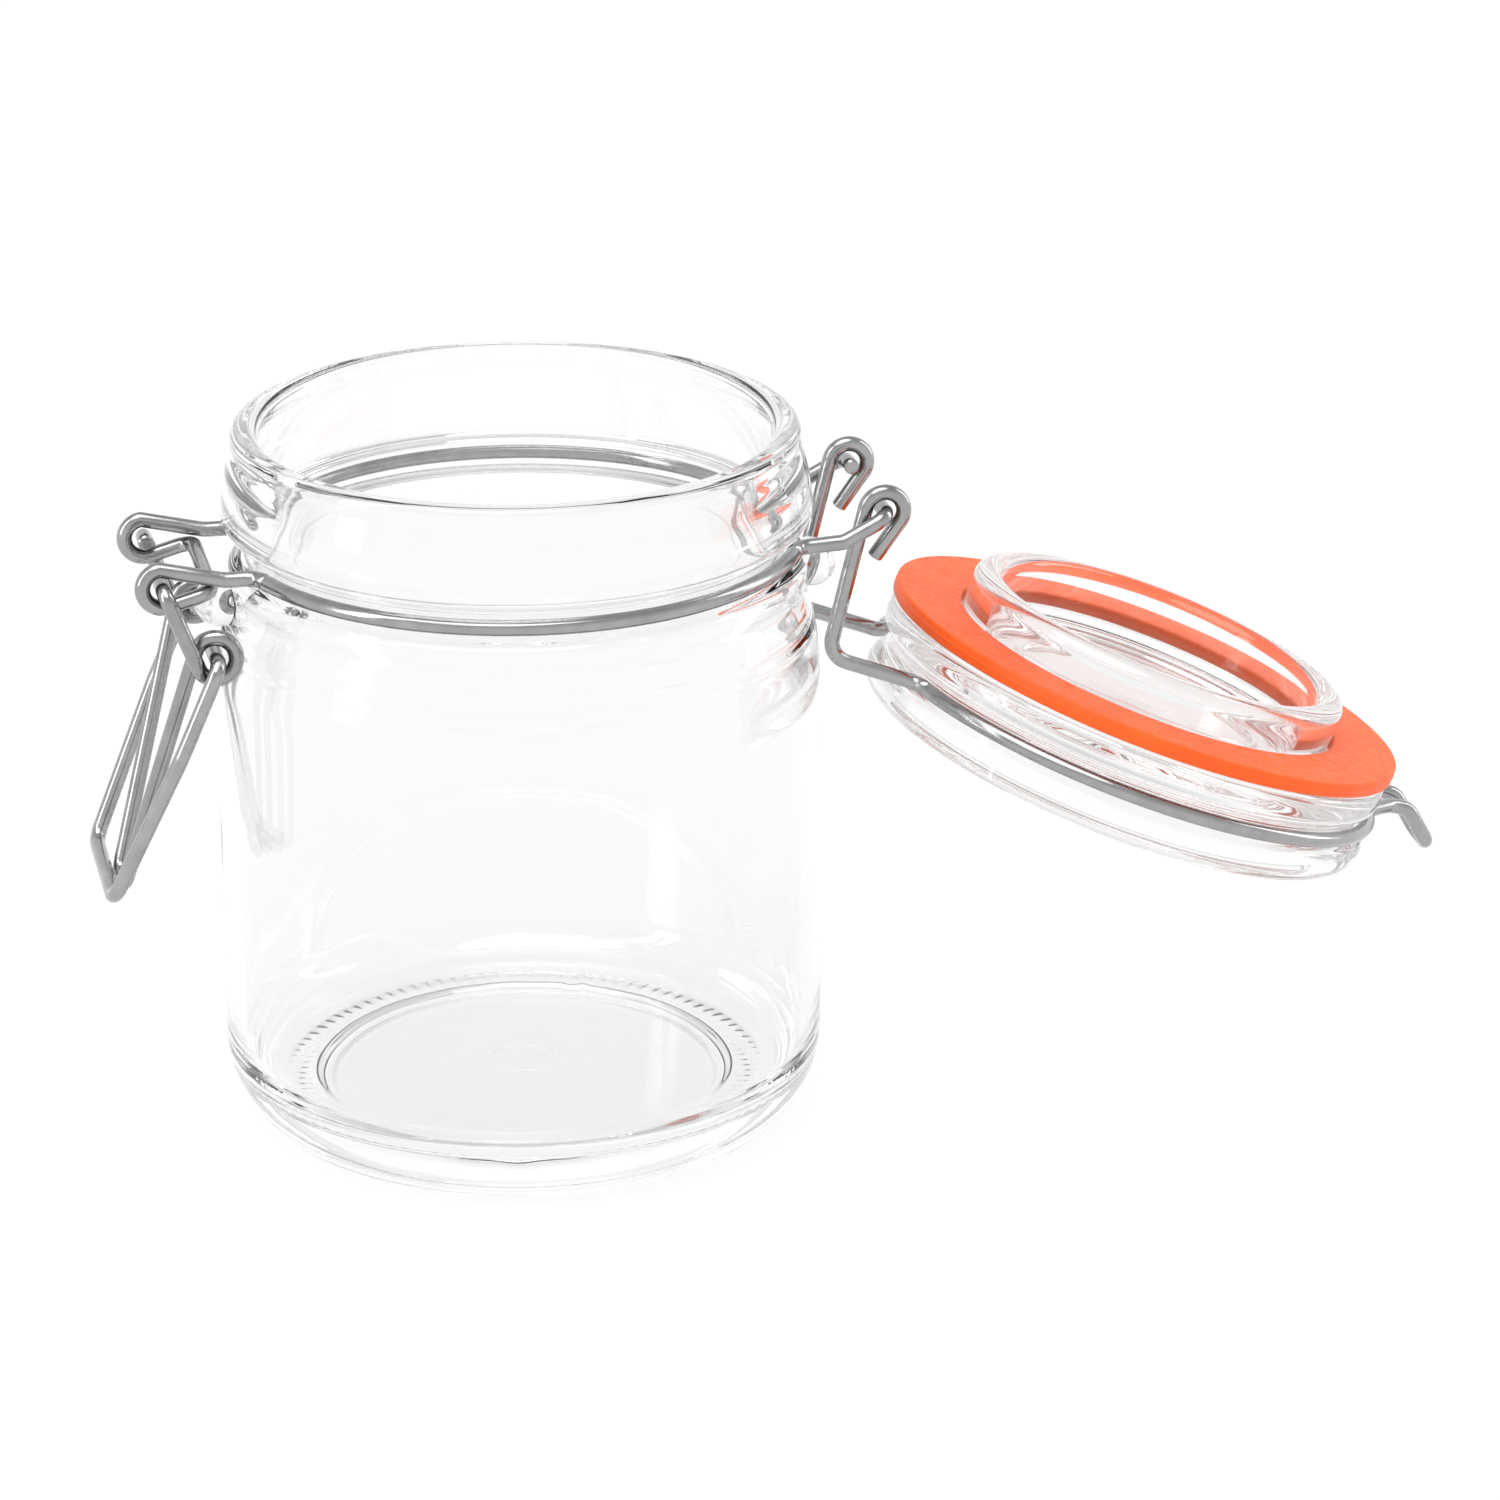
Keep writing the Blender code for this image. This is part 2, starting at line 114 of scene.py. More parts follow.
# neck wire
NECK_WIRE_R, GROOVE_Z = 43.0, 92.5
CLAMP_ARM_Y, CLAMP_LEAVE_X = 12.2, -46.4
CLAMP_EYE_DEG = (278, 98)
CROSSBAR_X, CROSSBAR_Z = -48.2, 90.8
HINGE_ARM_Y, HINGE_PIN_END_Y = 15.2, 9.6
HINGE_KNEE_X, HINGE_KNEE_RISE = 47.6, 0.4

# lid wire
LID_WIRE_R, LID_WIRE_H = 41.1, 10.0
LID_ARM_Y, LID_ARM_BEND_R = 12.4, 3.6
TEAR_END = (-1.1, 7.4)        # free end of the teardrop eye, from the hinge axis
TEAR_EYE_DEG = (158, 366)
TONGUE_Y, TONGUE_TIP_Y, TONGUE_BEND_R = 8.4, 3.4, 2.6
TONGUE_NECK_X, TONGUE_NECK_DIP = -46.2, 0.8
TONGUE_DIP_X, TONGUE_DIP = -49.3, 1.0
TONGUE_TIP_X, TONGUE_CURL = -55.0, 3.8

# lever, from the clamp eyes' axis
LEVER_HOOK_END_Y, LEVER_ARM_Y, LEVER_LEG_Y = 9.4, 15.0, 12.35
HANDLE_DEG, HANDLE_LEN, HANDLE_TIP_Y = 254.5, 41.9, 3.3

# closing loop, from the coils' axis
LOOP_HOOK_END_Y, LOOP_Y, LOOP_BAR_Y = 9.6, 17.8, 12.8
LOOP_DEG, LOOP_STRAIGHT, LOOP_LEN = 246.3, 15.5, 41.3

# studio
SKY_LEVELS = (1.05, 0.60)     # the dome's brightness at the horizon and overhead
SCRIM_ENERGY = 1.65
SCRIM_ANGLE = math.radians(50)
SCRIM_TILT = (math.radians(14), math.radians(-10), 0.0)
STRIP_SIZE = (0.2, 0.8)
STRIP_AIM = (0.0, 0.0, 0.06)
STRIPS = (("left_strip", (-0.8, -0.2, 0.45), 2.5), ("right_strip", (0.9, 0.1, 0.45), 2.0))
FLOOR_SIZE = 6.0
FLOOR_Z = -0.0003
FLOOR_GLOW = 0.92             # the floor is a lit white table, so shadows on it stay pale
GLASS_BOUNCES = 20            # light is reflected many times inside thick glass

# camera, from the jar's axis
VIEW_SIDE = math.radians(-9.6)
VIEW_DISTANCE, VIEW_HEIGHT = 0.8575, 0.3796
VIEW_PITCH = math.radians(90 - 20.61)
VIEW_HEADING = math.radians(-11.97)
VIEW_LENS, VIEW_SENSOR = 142.3, 36.0


# ---------- shapes ----------

def arc(centre, radius, start, end, step=BEND_DEG):
    """Points from start to end, both in degrees, with both ends."""
    count = max(1, round(abs(end - start) / step))
    out = []
    for i in range(count + 1):
        a = math.radians(start + (end - start) * i / count)
        out.append((centre[0] + radius * math.cos(a), centre[1] + radius * math.sin(a)))
    return out


def flowing(points):
    """A smooth curve through every point, centripetal so that it doesn't overshoot."""
    pts = [Vector((*p, 0.0)) for p in points]
    out = []
    for i in range(len(pts) - 1):
        p1, p2 = pts[i], pts[i + 1]
        p0 = pts[i - 1] if i else p1 * 2 - p2
        p3 = pts[i + 2] if i + 2 < len(pts) else p2 * 2 - p1
        t1 = (p1 - p0).length ** 0.5
        t2 = t1 + (p2 - p1).length ** 0.5
        t3 = t2 + (p3 - p2).length ** 0.5
        for k in range(GLASS_FINE):
            t = t1 + (t2 - t1) * k / GLASS_FINE
            a1 = p0.lerp(p1, t / t1)
            a2 = p1.lerp(p2, (t - t1) / (t2 - t1))
            a3 = p2.lerp(p3, (t - t2) / (t3 - t2))
            b1 = a1.lerp(a2, t / t2)
            b2 = a2.lerp(a3, (t - t1) / (t3 - t1))
            c = b1.lerp(b2, (t - t1) / (t2 - t1))
            out.append((max(c.x, 0.0), c.y))
    out.append(points[-1])
    return out


def turned(name, profile, closed):
    """A profile of (radius, height) in mm, turned about Z into a mesh at the origin."""
    bm = bmesh.new()
    rings = []
    for r, z in profile:
        if r < 1e-6:
            rings.append([bm.verts.new((0.0, 0.0, z * MM))])
            continue
        ring = []
        for i in range(TURN_STEPS):
            a = 2 * math.pi * i / TURN_STEPS
            ring.append(bm.verts.new((r * MM * math.cos(a), r * MM * math.sin(a), z * MM)))
        rings.append(ring)
    pairs = list(zip(rings, rings[1:]))
    if closed:
        pairs.append((rings[-1], rings[0]))
    for low, high in pairs:
        for i in range(TURN_STEPS):
            j = (i + 1) % TURN_STEPS
            corners = [low[i % len(low)], low[j % len(low)], high[j % len(high)], high[i % len(high)]]
            bm.faces.new(list(dict.fromkeys(corners)))
    bmesh.ops.recalc_face_normals(bm, faces=bm.faces)
    mesh = bpy.data.meshes.new(name)
    bm.to_mesh(mesh)
    bm.free()
    mesh.shade_smooth()
    return mesh


def add_object(name, data, mat):
    obj = bpy.data.objects.new(name, data)
    bpy.context.scene.collection.objects.link(obj)
    data.materials.clear()
    data.materials.append(mat)
    return obj


def place(mesh, matrix):
    mesh.transform(matrix)
    mesh.update()


def rounded(points, radii):
    """A path of points whose corners with a radius above zero are replaced by arcs."""
    pts = [Vector(p) for p in points]
    out = [pts[0]]
    for before, at, after, radius in zip(pts, pts[1:], pts[2:], radii[1:]):
        into = (at - before).normalized()
        away = (after - at).normalized()
        turn = into.angle(away, 0.0)
        if radius <= 0.0 or turn < math.radians(2):
            out.append(at)
            continue
        reach = radius * math.tan(turn / 2)
        middle = at + (away - into).normalized() * radius / math.cos(turn / 2)
        first = (at - into * reach - middle).normalized()
        last = (at + away * reach - middle).normalized()
        count = max(2, round(math.degrees(turn) / BEND_DEG))
        for i in range(count + 1):
            out.append(middle + first.slerp(last, i / count) * radius)
    out.append(pts[-1])
    return out


def mirrored(points):
    return [Vector((p[0], -p[1], p[2])) for p in points]


def wire(name, points, matrix, mat):
    """A round wire along the points, its cut ends slightly chamfered, as a mesh."""
    path = [Vector(points[0])]
    for p in points[1:]:
        if (Vector(p) - path[-1]).length > LEAST_STEP:
            path.append(Vector(p))
    first = path[0] + (path[1] - path[0]).normalized() * CUT_CHAMFER
    last = path[-1] + (path[-2] - path[-1]).normalized() * CUT_CHAMFER
    path = [path[0], first] + path[1:-1] + [last, path[-1]]
    curve = bpy.data.curves.new(name + "_path", "CURVE")
    curve.dimensions = "3D"
    curve.bevel_depth = WIRE_R * MM
    curve.bevel_resolution = WIRE_SIDES
    curve.use_fill_caps = True
    spline = curve.splines.new("POLY")
    spline.points.add(len(path) - 1)
    for point, p in zip(spline.points, path):
        point.co = (*(p * MM), 1.0)
    spline.points[0].radius = CUT_END
    spline.points[-1].radius = CUT_END
    spline.use_smooth = True
    guide = bpy.data.objects.new(name + "_path", curve)
    bpy.context.scene.collection.objects.link(guide)
    graph = bpy.context.evaluated_depsgraph_get()
    mesh = bpy.data.meshes.new_from_object(guide.evaluated_get(graph))
    bpy.data.objects.remove(guide)
    mesh.name = name
    bm = bmesh.new()
    bm.from_mesh(mesh)
    bmesh.ops.remove_doubles(bm, verts=bm.verts, dist=1e-7)
    bm.to_mesh(mesh)
    bm.free()
    mesh.shade_smooth()
    mesh.set_sharp_from_angle(angle=math.radians(40))
    place(mesh, matrix)
    return add_object(name, mesh, mat)


# ---------- materials ----------

def new_material(name):
    mat = bpy.data.materials.new(name)
    mat.use_nodes = True
    return mat, mat.node_tree.nodes, mat.node_tree.links, mat.node_tree.nodes["Principled BSDF"]


def noise(nodes, links, coords, scale, detail=3.0, roughness=0.5):
    tex = nodes.new("ShaderNodeTexNoise")
    tex.inputs["Scale"].default_value = scale
    tex.inputs["Detail"].default_value = detail
    tex.inputs["Roughness"].default_value = roughness
    links.new(coords, tex.inputs["Vector"])
    return tex.outputs["Fac"]


def mapped(nodes, links, value, low, high, source=(0.3, 0.7)):
    node = nodes.new("ShaderNodeMapRange")
    node.inputs["From Min"].default_value = source[0]
    node.inputs["From Max"].default_value = source[1]
    node.inputs["To Min"].default_value = low
    node.inputs["To Max"].default_value = high
    links.new(value, node.inputs["Value"])
    return node.outputs["Result"]


def bump(nodes, links, height, strength, distance, before=None):
    node = nodes.new("ShaderNodeBump")
    node.inputs["Strength"].default_value = strength
    node.inputs["Distance"].default_value = distance
    links.new(height, node.inputs["Height"])
    if before is not None:
        links.new(before, node.inputs["Normal"])
    return node.outputs["Normal"]


def glass_material(name, wave_height):
    """Pressed soda glass: slightly wavy, with polish that varies a little over the surface."""
    mat, nodes, links, shader = new_material(name)
    place_of = nodes.new("ShaderNodeTexCoord").outputs["Object"]
    waves = noise(nodes, links, place_of, 55.0, 1.5)
    smudge = noise(nodes, links, place_of, 28.0, 3.0, 0.6)
    links.new(bump(nodes, links, waves, 0.35, wave_height), shader.inputs["Normal"])
    links.new(mapped(nodes, links, smudge, 0.0, 0.035, (0.45, 0.75)), shader.inputs["Roughness"])
    tint = nodes.new("ShaderNodeValToRGB")
    tint.color_ramp.elements[0].color = (0.938, 0.942, 0.941, 1.0)
    tint.color_ramp.elements[1].color = (0.954, 0.957, 0.957, 1.0)
    links.new(smudge, tint.inputs["Fac"])
    links.new(tint.outputs["Color"], shader.inputs["Base Color"])
    shader.inputs["Transmission Weight"].default_value = 1.0
    shader.inputs["IOR"].default_value = 1.50
    return mat


def steel_material(name, base, rough):
    """Bright drawn wire: fine die lines along it and a faint haze of handling marks."""
    mat, nodes, links, shader = new_material(name)
    coords = nodes.new("ShaderNodeTexCoord")
    stretch = nodes.new("ShaderNodeMapping")
    stretch.inputs["Scale"].default_value = (3.0, 46.0, 1.0)
    links.new(coords.outputs["UV"], stretch.inputs["Vector"])
    lines = noise(nodes, links, stretch.outputs["Vector"], 3.0, 4.0, 0.6)
    haze = noise(nodes, links, coords.outputs["Object"], 260.0, 4.0, 0.6)
    fine = noise(nodes, links, coords.outputs["Object"], 2400.0, 2.0)
    normal = bump(nodes, links, lines, 0.22, 0.00005)
    normal = bump(nodes, links, fine, 0.06, 0.00003, normal)
    links.new(normal, shader.inputs["Normal"])
    links.new(mapped(nodes, links, haze, rough * 0.6, rough * 1.5), shader.inputs["Roughness"])
    tone = nodes.new("ShaderNodeValToRGB")
    tone.color_ramp.elements[0].position = 0.3
    tone.color_ramp.elements[0].color = (base * 0.80, base * 0.80, base * 0.81, 1.0)
    tone.color_ramp.elements[1].position = 0.7
    tone.color_ramp.elements[1].color = (base, base, base * 1.01, 1.0)
    links.new(haze, tone.inputs["Fac"])
    links.new(tone.outputs["Color"], shader.inputs["Base Color"])
    shader.inputs["Metallic"].default_value = 1.0
    return mat


def rubber_material(name):
    """Moulded orange rubber: fine matt grain, and a paler bloom in cloudy patches."""
    mat, nodes, links, shader = new_material(name)
    place_of = nodes.new("ShaderNodeTexCoord").outputs["Object"]
    cloud = noise(nodes, links, place_of, 75.0, 4.0, 0.55)
    grain = noise(nodes, links, place_of, 3200.0, 3.0, 0.6)
    pits = noise(nodes, links, place_of, 650.0, 4.0, 0.6)
    tone = nodes.new("ShaderNodeValToRGB")
    tone.color_ramp.elements[0].position = 0.3
    tone.color_ramp.elements[0].color = (0.93, 0.100, 0.008, 1.0)
    tone.color_ramp.elements[1].position = 0.72
    tone.color_ramp.elements[1].color = (0.99, 0.130, 0.014, 1.0)
    links.new(cloud, tone.inputs["Fac"])
    links.new(tone.outputs["Color"], shader.inputs["Base Color"])
    links.new(mapped(nodes, links, pits, 0.36, 0.56), shader.inputs["Roughness"])
    normal = bump(nodes, links, pits, 0.12, 0.00012)
    normal = bump(nodes, links, grain, 0.20, 0.00005, normal)
    links.new(normal, shader.inputs["Normal"])
    shader.inputs["Subsurface Weight"].default_value = 0.12
    shader.inputs["Subsurface Radius"].default_value = (0.0016, 0.0005, 0.0002)
    shader.inputs["Specular IOR Level"].default_value = 0.3
    return mat


# ---------- jar ----------

def jar_profile():
    """The jar's wall, from the middle of the inner floor up, over the rim and down under."""
    inner = [(0.0, 7.75), (9.0, 7.75), (20.0, 7.6), (30.0, 7.25)]
    inner += arc((36.5, 14.2), 7.0, -90, 0, 10)
    inner += [(43.5, 24.0), (43.5, 36.0), (43.5, 58.0), (43.5, 68.0), (43.35, 72.0)]
    inner += [(42.9, 75.4), (42.2, 79.0), (41.3, 82.6), (40.3, 86.2), (39.4, 89.6)]
    inner += [(38.95, 93.4), (38.9, 97.0), (38.9, 103.0), (39.0, RIM_Z - 1.8)]
    rim = [(39.3, RIM_Z - 0.75), (40.1, RIM_Z - 0.12), (41.0, RIM_Z), (41.9, RIM_Z - 0.05)]
    rim += [(42.7, RIM_Z - 0.4), (43.1, RIM_Z - 1.1)]
    collar = [(43.3, 107.9), (43.8, 105.4), (44.4, 102.8), (44.8, 100.2), (45.0, 98.2)]
    collar += [(44.9, 96.9), (44.3, 95.9), (43.2, 95.2), (42.2, 94.7), (41.55, 94.0)]
    neck = [(41.5, 92.5), (41.55, 91.0), (42.2, 90.2), (43.3, 89.7), (44.1, 88.8)]
    neck += [(44.3, 87.7), (44.15, 86.6), (44.05, 85.4), (44.4, 83.4), (44.75, 82.0)]
    shoulder = [(44.78, 81.2), (45.0, 80.2), (45.4, 79.0), (45.42, 78.3), (45.75, 77.2)]
    shoulder += [(46.15, 75.4), (46.4, 73.6), (BODY_R, 71.6)]
    wall = [(BODY_R, 58.0), (BODY_R, 36.0), (BODY_R, 20.0)]
    corner = []
    for i in range(13):
        a = math.radians(90 * i / 12)
        r = BODY_R - CORNER_R + CORNER_R * math.cos(a)
        corner.append((r, CORNER_H - CORNER_H * math.sin(a)))
    bearing = [(37.2, 0.0), (35.8, 0.0), (34.4, 0.0), (33.2, 0.05), (32.4, 0.3)]
    under = [(31.3, 0.95), (29.0, 1.6), (24.0, 1.95), (14.0, 2.2)]
    under += [(6.0, 2.2), (5.0, 2.26), (4.0, 2.2), (0.0, 2.2)]
    return inner + rim + collar + neck + shoulder + wall + corner + bearing + under


def stipple(mesh):
    """Short radial marks round the bearing ring, cut up into it by a fraction of a millimetre."""
    for v in mesh.vertices:
        r = math.hypot(v.co.x, v.co.y) / MM
        if v.co.z > STIPPLE_TOP * MM or not BEARING_IN < r < BEARING_OUT:
            continue
        turn = math.atan2(v.co.y, v.co.x) / (2 * math.pi) * STIPPLES
        gap = 0.5 - 0.5 * math.cos(2 * math.pi * turn)
        edge = math.sin(math.pi * (r - BEARING_IN) / (BEARING_OUT - BEARING_IN))
        v.co.z += STIPPLE_DEPTH * MM * gap * edge


def seams(mesh):
    """The two faint ridges where the halves of the mould met, on the outside only."""
    for v in mesh.vertices:
        z = v.co.z / MM
        r = math.hypot(v.co.x, v.co.y)
        if not SEAM_LOW < z < SEAM_HIGH or r < OUTSIDE_R * MM:
            continue
        off = math.degrees(math.atan2(abs(v.co.x), abs(v.co.y)))
        if off < SEAM_HALF_DEG:
            swell = SEAM_HEIGHT * MM * (1 - off / SEAM_HALF_DEG)
            v.co.x *= 1 + swell / r
            v.co.y *= 1 + swell / r


def lug_tool(side, mat):
    """The rounded lug under the collar; its odd tilt keeps its edges off the jar's own."""
    ball = bmesh.new()
    bmesh.ops.create_uvsphere(ball, u_segments=56, v_segments=36, radius=1.0)
    bmesh.ops.rotate(ball, verts=ball.verts, matrix=Matrix.Rotation(LUG_TILT, 3, LUG_TILT_AXIS))
    for v in ball.verts:
        v.co = Vector((v.co.x * LUG_SEMI[0], v.co.y * LUG_SEMI[1], v.co.z * LUG_SEMI[2])) * MM
        v.co += Vector((side * LUG_X, 0.0, LUG_Z)) * MM
    mesh = bpy.data.meshes.new("lug_tool")
    ball.to_mesh(mesh)
    ball.free()
    mesh.shade_smooth()
    return add_object("lug_tool", mesh, mat)


def keep_one_body(mesh):
    """Welds the joined surface and drops slivers that aren't part of the one closed body."""
    bm = bmesh.new()
    bm.from_mesh(mesh)
    bmesh.ops.remove_doubles(bm, verts=bm.verts, dist=WELD)
    bmesh.ops.dissolve_degenerate(bm, edges=bm.edges, dist=WELD)
    start = max(bm.verts, key=lambda v: v.co.z)
    seen = {start}
    front = [start]
    while front:
        for edge in front.pop().link_edges:
            for v in edge.verts:
                if v not in seen:
                    seen.add(v)
                    front.append(v)
    stray = [v for v in bm.verts if v not in seen]
    bmesh.ops.delete(bm, geom=stray, context="VERTS")
    bm.to_mesh(mesh)
    bm.free()


def make_jar(mat):
    mesh = turned("jar_visual", flowing(jar_profile()), closed=False)
    stipple(mesh)
    seams(mesh)
    jar = add_object("jar_visual", mesh, mat)
    for side in (-1, 1):
        tool = lug_tool(side, mat)
        join = jar.modifiers.new("lug", "BOOLEAN")
        join.operation = "UNION"
        join.solver = "EXACT"
        join.object = tool
        graph = bpy.context.evaluated_depsgraph_get()
        joined = bpy.data.meshes.new_from_object(jar.evaluated_get(graph))
        jar.modifiers.clear()
        jar.data = joined
        bpy.data.objects.remove(tool)
    keep_one_body(jar.data)
    jar.data.shade_smooth()
    place(jar.data, Matrix.Translation(JAR_AXIS))
    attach(jar, "jar")
    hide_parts("jar_glass")


# ---------- lid and gasket ----------

def lid_matrix():
    """From the closed lid's place, heights from the gasket's lower face, to the open lid."""
    to_closed = Matrix.Translation(JAR_AXIS + Vector((0.0, 0.0, SEAL_Z * MM)))
    swing = Matrix.Rotation(OPEN_ANGLE, 4, "Y")
    return Matrix.Translation(HINGE) @ swing @ Matrix.Translation(-HINGE) @ to_closed


def lid_profile():
    low = [(0.0, 3.4), (8.0, 3.4), (16.0, 3.4), (23.0, 3.4), (24.6, 3.2), (25.6, 2.6)]
    low += [(26.1, 1.4), (26.25, -0.6), (26.3, -2.6)]
    bead = arc((28.65, -4.2), 2.35, 180, 360, 12)
    bead += [(30.95, -2.6), (30.85, 0.0), (30.8, 2.2), (31.2, 2.75), (32.2, 2.8)]
    seat = [(36.0, 2.8), (39.6, 2.8), (40.7, 3.0), (41.4, 3.7), (41.7, 5.0), (41.55, 6.8)]
    seat += [(41.2, 7.6), (40.5, 8.1), (39.8, 8.7), (39.6, 9.4)]
    top = [(39.6, 10.6), (39.8, 11.4), (40.5, 12.0), (41.2, 12.6), (41.6, 13.5), (41.7, 14.4)]
    top += [(41.4, 15.9), (40.6, 17.0), (39.6, 17.75), (38.4, 18.1), (37.2, 18.1)]
    top += [(36.1, 17.8), (35.3, 17.0), (34.85, 15.6), (34.3, 13.0), (33.7, 10.8)]
    top += [(32.9, 9.2), (31.7, 8.0), (30.0, 7.35), (27.0, 7.1), (21.0, 7.05), (19.6, 7.25)]
    top += [(18.4, 7.05), (9.0, 7.1), (0.0, 7.1)]
    return low + bead + seat + top


def make_lid(mat):
    mesh = turned("lid_visual", flowing(lid_profile()), closed=False)
    place(mesh, lid_matrix())
    lid = add_object("lid_visual", mesh, mat)
    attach(lid, "lid")
    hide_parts("lid_glass")


def make_gasket(mat):
    """A flat moulded ring with softened edges and a hair-fine parting line round its side."""
    inner, high, soft = GASKET_IN_R, GASKET_H, GASKET_EDGE_R
    side = GASKET_R - PARTING_LINE
    middle = high / 2
    profile = arc((inner + soft, soft), soft, 180, 270, 15)
    profile += [(GASKET_FLAT[0], 0.0), (GASKET_FLAT[1], 0.0)]
    profile += arc((side - soft, soft), soft, 270, 360, 15)
    profile += [(side, middle - PARTING_HALF), (GASKET_R, middle), (side, middle + PARTING_HALF)]
    profile += arc((side - soft, high - soft), soft, 0, 90, 15)
    profile += [(GASKET_FLAT[1], high), (GASKET_FLAT[0], high)]
    profile += arc((inner + soft, high - soft), soft, 90, 180, 15)
    mesh = turned("gasket_visual", profile, closed=True)
    mesh.set_sharp_from_angle(angle=math.radians(35))
    place(mesh, lid_matrix())
    gasket = add_object("gasket_visual", mesh, mat)
    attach(gasket, "lid")
    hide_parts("gasket")


# ---------- wires ----------

def neck_side():
    """The near half of the neck wire, from the crossbar round the groove to the hinge pin."""
    y, arm, z = CLAMP_ARM_Y, HINGE_ARM_Y, GROOVE_Z
    path = [(CROSSBAR_X, 0.0, CROSSBAR_Z), (CROSSBAR_X, -y, CROSSBAR_Z)]
    radii = [0.0, BEND_R * 0.85]
    for px, pz in arc((CLAMP_X, CLAMP_Z), EYE_R, *CLAMP_EYE_DEG):
        path.append((px, -y, pz))
        radii.append(0.0)
    path.append((CLAMP_LEAVE_X, -y, z))
    radii.append(BEND_R * 2)
    first = 180 + math.degrees(math.asin(y / NECK_WIRE_R))
    last = 360 - math.degrees(math.asin(arm / NECK_WIRE_R))
    groove = arc((0.0, 0.0), NECK_WIRE_R, first, last, ARC_DEG)
    for i, (px, py) in enumerate(groove):
        path.append((px, py, z))
        radii.append(BEND_R if i in (0, len(groove) - 1) else 0.0)
    path.append((HINGE_KNEE_X, -arm, z + HINGE_KNEE_RISE))
    path.append((HINGE_X, -arm, HINGE_Z))
    path.append((HINGE_X, -HINGE_PIN_END_Y, HINGE_Z))
    radii += [BEND_R, BEND_R * 0.8, 0.0]
    return rounded(path, radii)


def lid_side():
    """The near half of the lid wire with the lid closed, from its eye to the tongue's tip."""
    y, tip = LID_ARM_Y, TONGUE_TIP_Y
    rise = SEAL_Z + LID_WIRE_H - HINGE_Z
    path = [(TEAR_END[0], -y, TEAR_END[1])]
    radii = [0.0]
    for px, pz in arc((0.0, 0.0), EYE_R, *TEAR_EYE_DEG):
        path.append((px, -y, pz))
        radii.append(0.0)
    path.append((0.0, -y, rise))
    radii.append(LID_ARM_BEND_R)
    first = 360 - math.degrees(math.asin(y / LID_WIRE_R))
    last = 180 + math.degrees(math.asin(TONGUE_Y / LID_WIRE_R))
    groove = arc((0.0, 0.0), LID_WIRE_R, first, last, ARC_DEG)
    for i, (px, py) in enumerate(groove):
        path.append((px - HINGE_X, py, rise))
        radii.append(TONGUE_BEND_R if i in (0, len(groove) - 1) else 0.0)
    path.append((TONGUE_NECK_X - HINGE_X, -tip, rise - TONGUE_NECK_DIP))
    path.append((TONGUE_DIP_X - HINGE_X, -tip, rise - TONGUE_DIP))
    path.append((TONGUE_TIP_X - HINGE_X, -tip, rise + TONGUE_CURL))
    path.append((TONGUE_TIP_X - HINGE_X, 0.0, rise + TONGUE_CURL))
    radii += [TONGUE_BEND_R * 2, TONGUE_BEND_R, TONGUE_BEND_R, 0.0]
    return rounded(path, radii)


def lever_side():
    """The near half of the lever: hook, arm, coil and handle leg."""
    arm, leg = LEVER_ARM_Y, LEVER_LEG_Y
    reach = math.hypot(COIL_X, COIL_Z)
    toward = math.degrees(math.atan2(COIL_Z, COIL_X))
    start = toward - math.degrees(math.asin(EYE_R / reach)) - 90
    path = [(0.0, -LEVER_HOOK_END_Y, 0.0), (0.0, -arm, 0.0)]
    radii = [0.0, BEND_R * 0.8]
    ring = arc((COIL_X, COIL_Z), EYE_R, start, HANDLE_DEG - 90)
    for i, (px, pz) in enumerate(ring):
        path.append((px, -(arm + (leg - arm) * i / (len(ring) - 1)), pz))
        radii.append(0.0)
    px = ring[-1][0] + HANDLE_LEN * math.cos(math.radians(HANDLE_DEG))
    pz = ring[-1][1] + HANDLE_LEN * math.sin(math.radians(HANDLE_DEG))
    path += [(px, -HANDLE_TIP_Y, pz), (px, 0.0, pz)]
    radii += [BEND_R * 0.85, 0.0]
    return rounded(path, radii)


def loop_side():
    """The near half of the closing loop: hook, leg and half of the crossbar."""
    a = math.radians(LOOP_DEG)
    dx, dz = math.cos(a), math.sin(a)
    path = [(0.0, -LOOP_HOOK_END_Y, 0.0), (0.0, -LOOP_Y, 0.0)]
    path.append((dx * LOOP_STRAIGHT, -LOOP_Y, dz * LOOP_STRAIGHT))
    path.append((dx * LOOP_LEN, -LOOP_BAR_Y, dz * LOOP_LEN))
    path.append((dx * LOOP_LEN, 0.0, dz * LOOP_LEN))
    return rounded(path, [0.0, BEND_R * 0.8, BEND_R * 3, BEND_R, 0.0])


def whole(side, ends_at_middle):
    """Both halves as one path: they meet at the middle of the wire."""
    far = mirrored(side)
    if ends_at_middle:
        return side[:-1] + list(reversed(far))
    return list(reversed(far)) + side[1:]


def make_wires():
    swing = Matrix.Translation(HINGE) @ Matrix.Rotation(OPEN_ANGLE, 4, "Y")
    rows = [
        ("neck_wire", whole(neck_side(), False), Matrix.Translation(JAR_AXIS), "jar", 0.40, 0.12),
        ("lid_wire", whole(lid_side(), True), swing, "lid", 0.40, 0.12),
        ("lever_wire", whole(lever_side(), True), Matrix.Translation(CLAMP), "lever", 0.37, 0.13),
        ("closing_loop", whole(loop_side(), True), Matrix.Translation(COILS), "loop", 0.42, 0.11),
    ]
    for node, path, matrix, body, base, rough in rows:
        mat = steel_material(node + "_drawn_steel", base, rough)
        obj = wire(node + "_visual", path, matrix, mat)
        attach(obj, body)
        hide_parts(node)


# ---------- studio ----------

